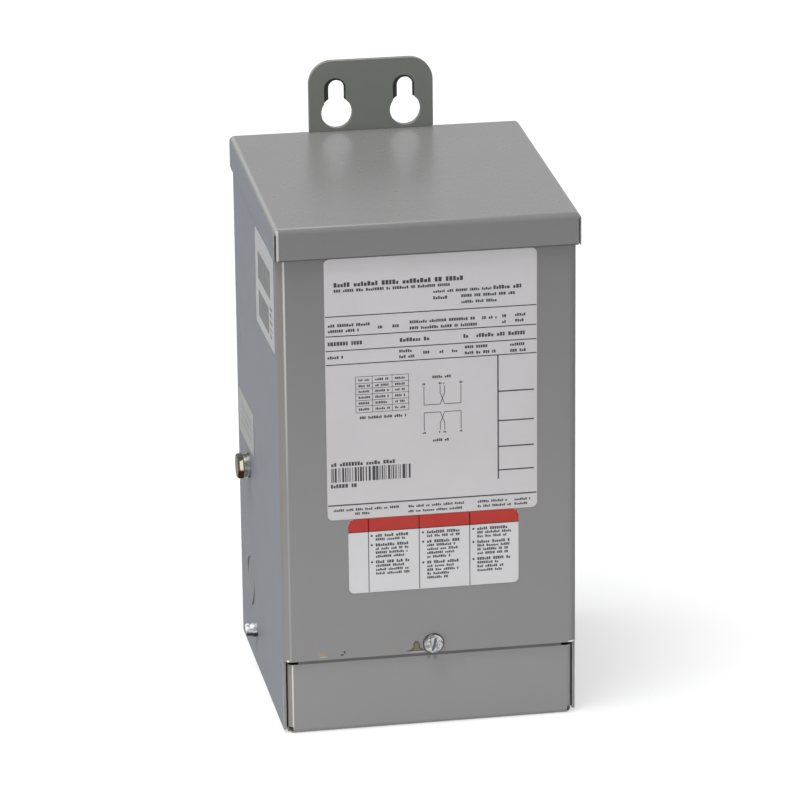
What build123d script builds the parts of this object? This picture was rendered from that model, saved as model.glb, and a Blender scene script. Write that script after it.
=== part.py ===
from build123d import *
import math
import os

# Wall-mounted dry-type transformer in a rainproof sheet-steel case.
# Millimetres. X to the right, Y towards the wall, Z up.
# The origin is the middle of the bottom panel, on the floor.

# Case
case_width = 129.0
case_depth = 130.0
case_sheet = 1.2
case_bend_radius = 3.5
side_bottom = 1.5
front_bottom = 33.8
knockout_radius = 11.1
knockout_gap = 0.25
knockout_setback = 31.2
knockout_height = 36.2
knockout_tip = 2.4
knockout_swing = 1.4

# Hood
roof_front_height = 227.9
roof_rise = 8.0
hood_sheet = 1.2
hood_side_clearance = 0.1
hood_front_clearance = 1.0
hood_bend_radius = 2.4
skirt_height = 13.8
hood_corner_slot = 0.8
hood_corner_lip = 0.4
roof_clearance = 0.9

# Wall plate and its ear
wall_plate_sheet = 1.5
ear_width = 56.0
ear_offset = -1.8
ear_rise = 32.0
ear_corner_radius = 10.4
ear_notch_clearance = 0.4
keyhole_spacing = 31.0
keyhole_drop = 23.7
keyhole_radius = 7.0
plate_slot_radius = 3.55
plate_slot_rise = 11.1
panel_slot_radius = 4.9
panel_slot_rise = 10.9
panel_slot_offset = -0.7

# Back panel
back_flange_depth = 9.0
back_flange_clearance = 0.1

# Wiring cover
cover_sheet = 1.2
cover_side_gap = 0.8
cover_front_gap = 0.2
cover_edge_gap = 1.8
cover_back_gap = 1.0
cover_bend_radius = 2.2
cover_flange_depth = 26.0
cover_corner_slot = 1.2
cover_relief_radius = 1.3
tongue_width = 116.0
tongue_height = 15.0

# Potted core and coil
core_bottom = 60.0
core_clearance = 0.2
core_head_space = 6.0

# Cover screw, slotted hex with a flange
cover_screw_height = 38.0
cover_screw_offset = 1.1
cover_screw_flats = 6.8
cover_screw_flange_radius = 4.6
cover_screw_flange_thickness = 0.9
cover_screw_head_height = 2.3
cover_screw_shank_radius = 2.2
cover_screw_shank_length = 9.0
cover_screw_slot_width = 1.1
cover_screw_slot_depth = 1.0
cover_screw_turn = 75.0
cover_screw_crown = 0.4

# Core bolts, one through each side of the case
core_bolt_height = 91.8
core_bolt_setback = 33.0
core_bolt_flats = 10.0
core_bolt_turn = 90.0
core_bolt_head_height = 2.8
core_bolt_shank_radius = 3.0
core_bolt_shank_length = 12.0
core_bolt_crown = 0.6
lock_washer_radius = 5.2
lock_washer_thickness = 1.6
lock_washer_split = 0.8
flat_washer_radius = 5.7
flat_washer_thickness = 1.2

# Earthing screw on the left side
earth_screw_height = 18.3
earth_screw_setback = 47.0
earth_screw_flats = 5.5
earth_screw_flange_radius = 3.2
earth_screw_flange_thickness = 0.8
earth_screw_head_height = 3.8
earth_screw_shank_radius = 1.5
earth_screw_shank_length = 8.0
earth_screw_crown = 0.4
star_washer_radius = 3.1
star_washer_thickness = 1.2
star_washer_teeth = 10
star_washer_notch_radius = 0.4

# Labels
label_thickness = 0.2
label_corner_radius = 2.4
nameplate_width = 91.4
nameplate_height = 116.0
nameplate_offset = 1.3
lower_label_width = 74.3
lower_label_height = 33.7
lower_label_offset = 1.6
label_gap = 0.2
nameplate_top_gap = 0.6
side_label_length = 53.0
side_label_height = 42.6
side_label_front_gap = 7.4
side_label_top_gap = 0.8
small_label_length = 45.0
small_label_height = 20.0
small_label_back_gap = 6.5
small_label_top = 120.8

# Running clearance of a shank in its hole
shank_clearance = 0.25

# Faces worked out from the sizes above
half_width = case_width / 2
front_face = -case_depth / 2
wall_face = case_depth / 2
panel_back = wall_face - wall_plate_sheet
panel_front = panel_back - case_sheet
hood_half_width = half_width + hood_side_clearance + hood_sheet
hood_front = front_face - hood_front_clearance - hood_sheet
skirt_bottom = roof_front_height - skirt_height
roof_slope = roof_rise / (panel_back - hood_front)
roof_back_height = roof_front_height + roof_rise
ear_top = roof_back_height + ear_rise
keyhole_height = ear_top - keyhole_drop
cover_half_width = half_width - case_sheet - cover_side_gap
cover_front = front_face + case_sheet + cover_front_gap
cover_back = panel_front - cover_back_gap
core_bolt_y = wall_face - core_bolt_setback
earth_screw_y = wall_face - earth_screw_setback
knockout_y = wall_face - knockout_setback


def save(node, shape):
    shape.label = node
    export_step(shape, os.path.join("parts", node + ".step"))


def block(x0, x1, y0, y1, z0, z1):
    """Box between two corners."""
    size = (x1 - x0, y1 - y0, z1 - z0)
    middle = ((x0 + x1) / 2, (y0 + y1) / 2, (z0 + z1) / 2)
    return Pos(*middle) * Box(*size)


def roof_height(y):
    """Height of the roof's outer face at a given depth."""
    return roof_front_height + roof_slope * (y - hood_front)


def under_roof(y0, y1, z0, drop, half):
    """Block from z0 up to the sloping roof, lowered by drop."""
    profile = Polyline(
        (0, y0, z0),
        (0, y1, z0),
        (0, y1, roof_height(y1) - drop),
        (0, y0, roof_height(y0) - drop),
        close=True,
    )
    return extrude(make_face(profile), amount=half, dir=(1, 0, 0), both=True)


def rod_y(x, z, y0, y1, radius):
    """Round bar along Y."""
    return Pos(x, (y0 + y1) / 2, z) * Rot(90, 0, 0) * Cylinder(radius, abs(y1 - y0))


def rod_x(y, z, x0, x1, radius):
    """Round bar along X."""
    return Pos((x0 + x1) / 2, y, z) * Rot(0, 90, 0) * Cylinder(radius, abs(x1 - x0))


def hood():
    """Roof sheet with a front skirt and side flanges as deep as it, the front corners open."""
    outer = under_roof(hood_front, panel_back, skirt_bottom, 0, hood_half_width)
    top_edges = outer.faces().sort_by(Axis.Z)[-1].edges()
    bent = [e for e in top_edges if e.center().Y < panel_back - 1]
    outer = fillet(bent, hood_bend_radius)

    inner_front = hood_front + hood_sheet
    inner_half = hood_half_width - hood_sheet
    below = skirt_bottom - hood_sheet
    inner = under_roof(inner_front, panel_back + hood_sheet, below, hood_sheet, inner_half)
    top_edges = inner.faces().sort_by(Axis.Z)[-1].edges()
    bent = [e for e in top_edges if e.center().Y < panel_back]
    inner = fillet(bent, hood_bend_radius - hood_sheet)
    sheet = outer - inner
    sheet -= under_roof(
        hood_front - 1, wall_face, below - 1, skirt_height, hood_half_width + 1
    )

    slot_top = roof_front_height - hood_bend_radius
    slot_back = inner_front + hood_corner_lip
    for side in (-1, 1):
        edge_a = side * (hood_half_width - hood_corner_lip)
        edge_b = edge_a - side * hood_corner_slot
        slot_x = sorted((edge_a, edge_b))
        sheet -= block(*slot_x, hood_front - 1, slot_back, below, slot_top)

    notch_half = ear_width / 2 + ear_notch_clearance
    notch_front = panel_front - ear_notch_clearance
    sheet -= block(
        ear_offset - notch_half, ear_offset + notch_half, notch_front, wall_face, below, ear_top
    )
    return sheet


def side_holes(side):
    """Knockout and bolt holes of one side wall."""
    x0, x1 = side * (half_width - case_sheet - 1), side * (half_width + 1)
    holes = rod_x(knockout_y, knockout_height, x0, x1, knockout_radius)
    bolt_hole = core_bolt_shank_radius + shank_clearance
    holes += rod_x(core_bolt_y, core_bolt_height, x0, x1, bolt_hole)
    if side < 0:
        screw_hole = earth_screw_shank_radius + shank_clearance
        holes += rod_x(earth_screw_y, earth_screw_height, x0, x1, screw_hole)
    return holes


def case_wrap():
    """Front panel and both side walls, bent from one sheet."""
    top = roof_back_height
    outer = block(-half_width, half_width, front_face, panel_back, side_bottom, top)
    corners = outer.edges().filter_by(Axis.Z).sort_by(Axis.Y)[:2]
    outer = fillet(corners, case_bend_radius)

    inner_half = half_width - case_sheet
    inner_front = front_face + case_sheet
    inner = block(-inner_half, inner_half, inner_front, wall_face, side_bottom - 1, top + 1)
    corners = inner.edges().filter_by(Axis.Z).sort_by(Axis.Y)[:2]
    inner = fillet(corners, case_bend_radius - case_sheet)
    sheet = outer - inner

    drop = hood_sheet + roof_clearance
    sheet = sheet & under_roof(front_face, panel_back, side_bottom, drop, half_width)
    mouth_back = front_face + case_bend_radius
    sheet -= block(
        -case_width, case_width, front_face - 1, mouth_back, side_bottom - 1, front_bottom
    )
    for side in (-1, 1):
        sheet -= side_holes(side)
    screw_hole = cover_screw_shank_radius + shank_clearance
    sheet -= rod_y(
        cover_screw_offset, cover_screw_height, front_face - 1, inner_front + 1, screw_hole
    )
    return sheet


def keyholes(y0, y1, slot_radius, slot_rise, slot_offset=0):
    """Two keyholes through the ear, each a round hole with a slot above it."""
    holes = None
    for side in (-1, 1):
        x = ear_offset + side * keyhole_spacing / 2
        slot_x = x + slot_offset
        slot_top = keyhole_height + slot_rise
        one = rod_y(x, keyhole_height, y0, y1, keyhole_radius)
        one += rod_y(slot_x, slot_top, y0, y1, slot_radius)
        one += block(slot_x - slot_radius, slot_x + slot_radius, y0, y1, keyhole_height, slot_top)
        holes = one if holes is None else holes + one
    return holes


def ear_strip(y0, y1, z0):
    """Flat strip up to the ear's top, with its two top corners rounded."""
    half = ear_width / 2
    strip = block(ear_offset - half, ear_offset + half, y0, y1, z0, ear_top)
    corners = strip.edges().filter_by(Axis.Y).sort_by(Axis.Z)[-2:]
    return fillet(corners, ear_corner_radius)


def back_panel():
    """Back wall with flanges inside the side walls, and the front layer of the ear."""
    half = half_width - case_sheet - back_flange_clearance
    drop = hood_sheet + roof_clearance
    panel = under_roof(panel_front, panel_back, side_bottom, drop, half)
    flange_front = panel_front - back_flange_depth
    for side in (-1, 1):
        flange = under_roof(flange_front, panel_front, side_bottom, drop, case_sheet / 2)
        panel += Pos(side * (half - case_sheet / 2), 0, 0) * flange
    panel += ear_strip(panel_front, panel_back, skirt_bottom)
    panel -= keyholes(
        panel_front - 1, panel_back + 1, panel_slot_radius, panel_slot_rise, panel_slot_offset
    )
    return panel


def wall_plate():
    """Strip against the wall, with the rear layer of the ear."""
    plate = ear_strip(panel_back, wall_face, side_bottom)
    plate -= keyholes(panel_back - 1, wall_face + 1, plate_slot_radius, plate_slot_rise)
    return plate


def wiring_cover():
    """Lower front cover with side flanges, a bottom panel and a tongue behind the front panel."""
    top = front_bottom - cover_edge_gap
    outer = block(-cover_half_width, cover_half_width, cover_front, cover_back, 0, top)
    bent = outer.edges().filter_by(Axis.Z).sort_by(Axis.Y)[:2]
    bent += outer.faces().sort_by(Axis.Z)[0].edges().sort_by(Axis.Y)[:3]
    outer = fillet(bent, cover_bend_radius)

    inner_half = cover_half_width - cover_sheet
    inner_front = cover_front + cover_sheet
    inner = block(-inner_half, inner_half, inner_front, wall_face, cover_sheet, top + 1)
    bent = inner.edges().filter_by(Axis.Z).sort_by(Axis.Y)[:2]
    bent += inner.faces().sort_by(Axis.Z)[0].edges().sort_by(Axis.Y)[:3]
    inner = fillet(bent, cover_bend_radius - cover_sheet)
    cover = outer - inner

    flange_back = cover_front + cover_flange_depth
    bend_top = cover_bend_radius + cover_corner_slot
    for side in (-1, 1):
        wall_x = sorted((side * (inner_half - 0.01), side * case_width))
        cover -= block(*wall_x, flange_back, wall_face, cover_bend_radius, top + 1)
        corner = side * (cover_half_width - cover_bend_radius)
        corner_x = sorted((corner, side * case_width))
        corner_front = cover_front + cover_bend_radius
        cover -= block(*corner_x, corner_front, wall_face, -1, bend_top)
        relief = Pos(side * (cover_half_width - cover_relief_radius), inner_front, cover_bend_radius)
        cover -= relief * Cylinder(cover_relief_radius, 2 * (cover_bend_radius - cover_sheet))
    panel_front_edge = cover_front + cover_bend_radius + cover_relief_radius
    cover += block(
        -cover_half_width, cover_half_width, panel_front_edge, cover_back, 0, cover_sheet
    )

    tongue_top = front_bottom + tongue_height
    cover += block(
        -tongue_width / 2, tongue_width / 2, cover_front, inner_front, top - 1, tongue_top
    )
    cover -= rod_y(
        cover_screw_offset, cover_screw_height, cover_front - 1, inner_front + 1,
        cover_screw_shank_radius + shank_clearance,
    )
    return cover


def potted_core():
    """Core and coil cast in resin and sand, filling the case above the wiring space."""
    flange_clear = 2 * case_sheet + back_flange_clearance + core_clearance
    half = half_width - flange_clear
    front = front_face + case_sheet + core_clearance
    top = roof_front_height - hood_sheet - core_head_space
    core = block(-half, half, front, panel_front, core_bottom, top)
    corners = core.edges().filter_by(Axis.Z).sort_by(Axis.Y)[:2]
    core = fillet(corners, case_bend_radius)
    for side in (-1, 1):
        reach = half_width - core_bolt_shank_length - core_clearance
        pocket = rod_x(core_bolt_y, core_bolt_height, side * reach, side * half_width,
                       core_bolt_shank_radius + core_clearance)
        core -= pocket
    return core


def hex_head(flats, height, crown):
    """Hexagonal head standing on its base at Z 0, with a chamfered top."""
    corner_radius = flats / math.sqrt(3)
    prism = extrude(RegularPolygon(corner_radius, 6), amount=height)
    cap = Pos(0, 0, height / 2) * Cylinder(corner_radius, height)
    cap = chamfer(cap.edges().sort_by(Axis.Z)[-1], crown)
    return prism & cap


def cover_screw():
    """Slotted hex screw with a flange, through the front panel into the cover's tongue."""
    flange = Pos(0, 0, cover_screw_flange_thickness / 2) * Cylinder(
        cover_screw_flange_radius, cover_screw_flange_thickness
    )
    flange = chamfer(flange.edges().sort_by(Axis.Z)[-1], cover_screw_flange_thickness / 3)
    screw = flange + hex_head(
        cover_screw_flats, cover_screw_head_height, cover_screw_crown
    )
    slot_bottom = cover_screw_head_height - cover_screw_slot_depth
    screw -= block(
        -cover_screw_flange_radius, cover_screw_flange_radius,
        -cover_screw_slot_width / 2, cover_screw_slot_width / 2,
        slot_bottom, cover_screw_head_height + 1,
    )
    shank = Cylinder(cover_screw_shank_radius, cover_screw_shank_length)
    screw += Pos(0, 0, -cover_screw_shank_length / 2) * shank
    seat = Pos(cover_screw_offset, front_face, cover_screw_height)
    return seat * Rot(90, 0, 0) * Rot(0, 0, cover_screw_turn) * screw


def side_seat(side, y, z, stand_off):
    """Place on a side wall, with Z turned to point away from the case."""
    return Pos(side * (half_width + stand_off), y, z) * Rot(0, side * 90, 0)


def ring(outer_radius, inner_radius, thickness):
    """Flat ring standing on Z 0."""
    outer = Pos(0, 0, thickness / 2) * Cylinder(outer_radius, thickness)
    return outer - Pos(0, 0, thickness / 2) * Cylinder(inner_radius, 2 * thickness)


def flat_washer(side):
    """Plain washer against the side wall."""
    hole = core_bolt_shank_radius + shank_clearance
    washer = ring(flat_washer_radius, hole, flat_washer_thickness)
    return side_seat(side, core_bolt_y, core_bolt_height, 0) * washer


def lock_washer(side):
    """Split spring washer under the bolt's head."""
    hole = core_bolt_shank_radius + shank_clearance
    washer = ring(lock_washer_radius, hole, lock_washer_thickness)
    half_split = lock_washer_split / 2
    reach = lock_washer_radius + 1
    washer -= block(0, reach, -half_split, half_split, -1, lock_washer_thickness + 1)
    return side_seat(side, core_bolt_y, core_bolt_height, flat_washer_thickness) * washer


def core_bolt(side):
    """Hex bolt that holds the core through the side wall."""
    head = hex_head(core_bolt_flats, core_bolt_head_height, core_bolt_crown)
    bolt = Rot(0, 0, core_bolt_turn) * head
    under_head = flat_washer_thickness + lock_washer_thickness
    length = core_bolt_shank_length + under_head
    bolt += Pos(0, 0, -length / 2) * Cylinder(core_bolt_shank_radius, length)
    return side_seat(side, core_bolt_y, core_bolt_height, under_head) * bolt


def star_washer():
    """Toothed washer under the earthing screw."""
    hole = earth_screw_shank_radius + shank_clearance
    washer = ring(star_washer_radius, hole, star_washer_thickness)
    cutter = Cylinder(star_washer_notch_radius, 3 * star_washer_thickness)
    for index in range(star_washer_teeth):
        angle = 360 * index / star_washer_teeth
        washer -= Rot(0, 0, angle) * Pos(star_washer_radius, 0, 0) * cutter
    return side_seat(-1, earth_screw_y, earth_screw_height, 0) * washer


def earth_screw():
    """Small hex screw with a flange on the left side wall."""
    flange = Pos(0, 0, earth_screw_flange_thickness / 2) * Cylinder(
        earth_screw_flange_radius, earth_screw_flange_thickness
    )
    screw = flange + hex_head(
        earth_screw_flats, earth_screw_head_height, earth_screw_crown
    )
    length = earth_screw_shank_length + star_washer_thickness
    screw += Pos(0, 0, -length / 2) * Cylinder(earth_screw_shank_radius, length)
    return side_seat(-1, earth_screw_y, earth_screw_height, star_washer_thickness) * screw


def knockout(side):
    """Knockout disc in its round hole in the side wall, its top and back tipped inwards."""
    half_sheet = case_sheet / 2
    disc = rod_x(0, 0, -half_sheet, half_sheet, knockout_radius - knockout_gap)
    seat = Pos(side * (half_width - half_sheet), knockout_y, knockout_height)
    return seat * Rot(0, -side * knockout_tip, side * knockout_swing) * disc


def front_label(width, height, offset, top):
    """Thin label on the front panel."""
    label = block(
        offset - width / 2, offset + width / 2,
        front_face - label_thickness, front_face,
        top - height, top,
    )
    return fillet(label.edges().filter_by(Axis.Y), label_corner_radius)


def side_label(y0, length, height, top):
    """Thin label on the left side wall."""
    label = block(
        -half_width - label_thickness, -half_width, y0, y0 + length, top - height, top
    )
    return fillet(label.edges().filter_by(Axis.X), label_corner_radius / 2)


def build():
    os.makedirs("parts", exist_ok=True)
    save("hood", hood())
    save("case_wrap", case_wrap())
    save("back_panel", back_panel())
    save("wall_plate", wall_plate())
    save("wiring_cover", wiring_cover())
    save("potted_core", potted_core())
    save("cover_screw", cover_screw())
    for side, name in ((-1, "left"), (1, "right")):
        save("flat_washer_" + name, flat_washer(side))
        save("lock_washer_" + name, lock_washer(side))
        save("core_bolt_" + name, core_bolt(side))
        save("knockout_" + name, knockout(side))
    save("star_washer", star_washer())
    save("earth_screw", earth_screw())

    nameplate_top = skirt_bottom - nameplate_top_gap
    lower_label_top = nameplate_top - nameplate_height - label_gap
    save("nameplate", front_label(
        nameplate_width, nameplate_height, nameplate_offset, nameplate_top))
    save("lower_label", front_label(
        lower_label_width, lower_label_height, lower_label_offset, lower_label_top))
    save("side_label_upper", side_label(
        front_face + side_label_front_gap, side_label_length, side_label_height,
        skirt_bottom - side_label_top_gap))
    small_label_front = wall_face - small_label_back_gap - small_label_length
    save("side_label_lower", side_label(
        small_label_front, small_label_length, small_label_height, small_label_top))


build()
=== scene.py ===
import math
import random

import bpy
from mathutils import Matrix, Vector


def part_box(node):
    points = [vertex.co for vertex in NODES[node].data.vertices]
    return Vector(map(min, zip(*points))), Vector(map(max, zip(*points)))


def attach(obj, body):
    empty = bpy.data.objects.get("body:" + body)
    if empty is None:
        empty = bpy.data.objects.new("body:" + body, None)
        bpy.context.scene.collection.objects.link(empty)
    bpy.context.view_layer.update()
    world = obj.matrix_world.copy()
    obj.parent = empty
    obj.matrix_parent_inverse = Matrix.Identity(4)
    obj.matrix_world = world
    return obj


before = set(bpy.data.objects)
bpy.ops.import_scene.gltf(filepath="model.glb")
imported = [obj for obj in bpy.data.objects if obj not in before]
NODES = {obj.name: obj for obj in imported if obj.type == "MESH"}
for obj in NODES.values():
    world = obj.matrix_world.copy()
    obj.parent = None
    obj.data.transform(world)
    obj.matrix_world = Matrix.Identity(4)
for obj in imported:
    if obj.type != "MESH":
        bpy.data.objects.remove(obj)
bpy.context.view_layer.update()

MM = 0.001


def srgb(red, green, blue):
    """Linear colour from screen values of 0 to 255."""
    linear = []
    for value in (red, green, blue):
        value = value / 255
        linear.append(value / 12.92 if value <= 0.04045 else ((value + 0.055) / 1.055) ** 2.4)
    return (*linear, 1.0)


def middle(name):
    """Middle of a CAD node's box, in mm."""
    low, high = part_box(name)
    return (low + high) / 2 / MM


# Camera, in the part's own frame, with angles in degrees
CAMERA_AZIMUTH = 9.9057
CAMERA_ELEVATION = 17.8748
CAMERA_ROLL = -0.6304
CAMERA_DISTANCE = 1846.36 * MM
CAMERA_TARGET = Vector((-12.435, -65.0, 149.599)) * MM
SENSOR_WIDTH = 36.0
LENS = 195.51
NEAREST_SEEN = 0.05
FARTHEST_SEEN = 50.0

# Light, in metres and degrees. Suns shine along their direction; the fill is a low strip in
# front of the object.
WORLD_LEVEL = 0.36
KEY_POWER = 2.4
KEY_ANGLE = 35.0
KEY_DIRECTION = (0.35, 0.15, -1.2)
SIDE_POWER = 0.42
SIDE_ANGLE = 50.0
SIDE_DIRECTION = (1.0, 0.12, -0.2)
SIDE_COLOUR = (0.60, 0.90, 1.20)
FILL_POWER = 0.45
FILL_SIZE = (0.60, 0.06)
FILL_PLACE = (-0.08, -0.30, 0.03)
FILL_TILT = 90.0
WHITE = (1.0, 1.0, 1.0, 1.0)

# Floor, in metres
FLOOR_HALF = 6.0
FLOOR_LEVEL = 188
FLOOR_LIFT = 0.55
FLOOR_ROUGHNESS = 0.9

# Paint of the sheets, a bluish copy for side faces and a lighter copy for the cover that are
# painted light, then the painted reflection on bends, colours of rubbed paint and painted
# highlights, and painted shade
GREY = srgb(132.5, 131, 130.5)
# Bluish copy of the paint for faces that point sideways: painted bluish light
SIDE_LIGHT_GREY = srgb(126, 128.5, 133)
# Lighter copy of the paint for the cover: painted light for the brighter bottom of the front
COVER_LIT_GREY = srgb(139, 137.5, 137)
DISC_GREY = srgb(125, 126, 127)
EAR_GREY = srgb(144, 146, 138)
STRIP_GREY = srgb(78, 80, 76)
# Painted reflection: brownish tint on the round of the left upright bends
BEND_REFLECTION_GREY = srgb(139, 133, 128)
# Colours of rubbed paint and painted highlights on upper edges and bends
WORN_AND_HIGHLIGHT = srgb(222, 221, 217)
DISC_WEAR_AND_HIGHLIGHT = srgb(150, 149, 146)
EAR_WEAR_AND_HIGHLIGHT = srgb(149, 151, 143)
STRIP_WEAR_AND_HIGHLIGHT = srgb(100, 100, 96)
# Painted shade under lower edges and along the skirt's foot
PAINTED_SHADE_COLOUR = srgb(40, 40, 40)
SHADED_COVER = srgb(92, 92, 91)

# Plating, with its dull spots and its tints
ZINC = srgb(166, 166, 168)
ZINC_SPOTS = srgb(96, 97, 99)
SLOT_SHADE = srgb(84, 84, 86)
RIM_SHADE = srgb(70, 70, 70)
EARTH_ZINC = srgb(228, 228, 230)
EARTH_ZINC_SPOTS = srgb(132, 133, 135)
EARTH_SHADE = srgb(62, 62, 62)
DULL_ZINC = srgb(150, 151, 152)
DULL_ZINC_SPOTS = srgb(108, 109, 110)
YELLOW = srgb(96, 92, 76)
YELLOW_SPOTS = srgb(70, 66, 52)
BOLT_SHADE = srgb(72, 54, 34)
BOLT_NECK = srgb(92, 66, 36)
BOLT_GLINT = srgb(240, 236, 205)
BOLT_FACE = srgb(70, 70, 62)

# Films, resin and inks
SILVER = srgb(210, 207, 208)
# Darker copy of the nameplate's film for its lower part: painted light
SHADED_SILVER = srgb(193, 190, 191)
LOWER_SILVER = srgb(200, 198, 199)
SIDE_SILVER = srgb(171, 168, 167)
GREY_GREEN = srgb(150, 156, 146)
RESIN = srgb(38, 37, 36)
SAND = srgb(92, 86, 78)
BLACK_INK = srgb(66, 66, 68)
GREY_INK = srgb(96, 95, 94)
PALE_INK = srgb(124, 130, 130)
RED_INK = srgb(168, 42, 34)

# Middle of the range that noise usually fills
NOISE_MIDDLE = (0.3, 0.7)

# Grains: size in mm, detail, and the values they give at the low and the high end
PAINT_PATCHES = (45.0, 4, -0.015, 0.015)
PAINT_SPECKS = (0.9, 3, -0.008, 0.008)
PAINT_SHEEN = (12.0, 5, -0.02, 0.02)
FILM_CLOUDS = (18.0, 4, 1.0, 0.96)
RAGGED_RIM = (0.8, 3, -0.15, 0.15)
WAVY_BAND = (1.5, 3, -0.4, 0.4)

# Enamel: thinning at the edges, orange peel, roughness and edge radii, with lengths in mm
THIN_SIZE = 2.2
THIN_RANGE = (0.30, 0.60, 0.45, 1.0)
PEEL_SIZE = 1.3
PEEL_DEPTH = 0.0025
PAINT_RADIUS = 0.3
EDGE_RADIUS = 0.5
TOP_ROUGHNESS = 0.28
SIDE_ROUGHNESS = 0.55
PAINT_SPECULAR = 0.15

# Plating: dull spots, scratches and edge radius, with lengths in mm
SPOT_SIZE = 1.6
SPOT_RANGE = (0.42, 0.66)
SCRATCH_SIZE = 0.35
SCRATCH_STRETCH = (1, 1, 0.2)
SCRATCH_ROUGHNESS = (-0.06, 0.08)
SCRATCH_DEPTH = 0.004
PLATED_RADIUS = 0.25
METAL_SPECULAR = 0.2

# Film and resin, with lengths in mm
SHEEN_SIZE = 6.0
SHEEN_CHANGE = 0.04
FILM_SPECULAR = 0.2
FILM_GRAIN = 0.6
FILM_DEPTH = 0.008
SAND_SIZE = 1.1
SAND_RANGE = (0.35, 0.7)
SAND_DEPTH = 0.4
RESIN_ROUGHNESS = 0.7

# Edges: cosine between the rounded and the true normal where an edge begins and is full, and
# upward part of the rounded normal that parts lower edges from upper ones
BEVEL_SAMPLES = 6
EDGE_TURN = (0.99, 0.80)
EDGE_RISE = (-0.35, -0.15)

# Parts of the normal between which a face counts as one that points that way
FRONT_FACE = (-0.5, -0.7)
SIDE_FACE = (0.9, 0.99)
TOP_FACE = (0.5, 0.9)
HEAD_FACE = (0.7, 0.9)

# Leftward part of the normal where the painted highlight and the painted reflection tint on an
# upright bend, and the painted highlight on the roof's left bend, begin, are full, weaken and
# end, and the forward and upward parts that keep the highlight on upright bends
BEND_LINE = (0.02, 0.10, 0.18, 0.32)
BEND_REFLECTION = (0.32, 0.45, 0.95, 0.995)
ROOF_BEND = (0.10, 0.30, 0.60, 0.85)
BEND_FORWARD = (-0.5, -0.6)
BEND_UPRIGHT = (0.1, 0.05)

# Heights in mm between which the painted highlight on the bends grows, what is left of it below
# them, and heights between which it comes back on the cover
BEND_FADE = (110.0, 200.0)
BEND_FAINT = 0.15
BEND_LOW = (32.5, 32.0)

# Forward part of the normal along the painted highlight on the fold over the skirt, and places
# across, in mm, between which it grows
FOLD_LINE = (0.08, 0.16, 0.35, 0.60)
FOLD_FADE = (45.0, -45.0)

# Heights over which painted shade darkens the skirt's foot, and places across of the painted
# highlight at its left end, in mm
HOOD_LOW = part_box("hood")[0] / MM
SKIRT_FOOT = [HOOD_LOW.z + above for above in (0.75, 0.35)]
SKIRT_END = [HOOD_LOW.x + inward for inward in (1.0, 1.15, 1.9, 2.4)]

# How strongly each of those shows
BEND_STRENGTH = 0.9
ROOF_BEND_STRENGTH = 0.22
FOLD_STRENGTH = 0.35
SKIRT_END_STRENGTH = 0.8
SKIRT_FOOT_STRENGTH = 0.6

# Heights in mm between which the cover passes into the shadow behind the front panel, and
# between which the painted light on the nameplate falls off, darker further down
COVER_SHADE = (31.95, 32.05)
FILM_LIGHT_FALLOFF = (205.0, 130.0)

# Marks on the front: right, up, half width and half height in mm of the part's frame
RUBBED_EDGE = ((-6.2, 34.6, 4.2, 0.35), (-47.5, 35.2, 1.8, 0.4))
TAN_CHIP = ((-47.9, 36.3, 2.2, 1.3),)
PALE_CHIP = ((-16.5, 35.7, 1.7, 0.9),)
DARK_NICKS = ((-39.0, 35.6, 0.9, 0.5), (-38.0, 36.9, 0.6, 0.8))
OLIVE_RIM = ((-6.3, 37.2, 1.8, 2.8), (-6.3, 35.8, 3.0, 0.9), (-6.3, 35.2, 5.2, 0.4))
OLIVE_CHIP = ((-6.3, 37.0, 1.2, 2.1), (-6.3, 35.6, 2.2, 0.6))
# Painted highlights on the bottom corners of the front panel
CORNER_HIGHLIGHTS = ((-62.6, 34.3, 0.6, 0.5), (62.2, 34.15, 1.6, 0.4))
# Painted reflection of the cover screw: dark blotches on the cover under it
SCREW_REFLECTION = ((-0.7, 31.2, 1.1, 1.3), (2.1, 31.0, 1.4, 1.4))

# The same marks in the order they lie over each other, with the softness of their rims and
# their colours: chips under the rubbed and highlighted edges, painted highlights and a painted
# reflection over them
PANEL_CHIPS = (
    (RUBBED_EDGE, 0.6, srgb(168, 167, 160)),
    (TAN_CHIP, 0.5, srgb(150, 134, 114)),
    (PALE_CHIP, 0.7, srgb(142, 136, 116)),
    (DARK_NICKS, 0.5, srgb(66, 66, 64)),
    (OLIVE_RIM, 0.3, srgb(76, 66, 58)),
    (OLIVE_CHIP, 0.3, srgb(106, 107, 92)),
)
PANEL_HIGHLIGHTS = ((CORNER_HIGHLIGHTS, 0.4, srgb(238, 238, 235)),)
COVER_REFLECTION = ((SCREW_REFLECTION, 0.7, srgb(114, 114, 112)),)

# Stretch that takes the depth out of a place on the front
FLATTENED = 1e6

# Slot of the cover screw: degrees from level, half width and half length in mm, and the shares
# of those over which its ends and sides fade
SLOT_TURN = 75.0
SLOT_HALF_WIDTH = 0.5
SLOT_HALF_LENGTH = 3.0
SLOT_ENDS = (1.1, 0.9)
SLOT_SIDES = (1.2, 0.8)

# Shares of a round head's radius between which its dark rim grows
HEAD_RIM = (0.86, 0.93)

# Bands on the fasteners, in mm, where they begin, are full, weaken and end: heights from the
# middle of the piece, and distances out from the side walls
EARTH_UNDERSIDE = (-8.3, -7.3, -0.6, 0.0)
BOLT_UNDERSIDE = (-11.8, -10.8, -1.2, -0.4)
GLINT_HEIGHT = (-0.8, -0.2, 3.4, 3.9)
GLINT_SIDE = (3.1, 3.3, 4.6, 4.9)
NECK_SIDE = (1.5, 1.9, 3.0, 3.2)

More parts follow.
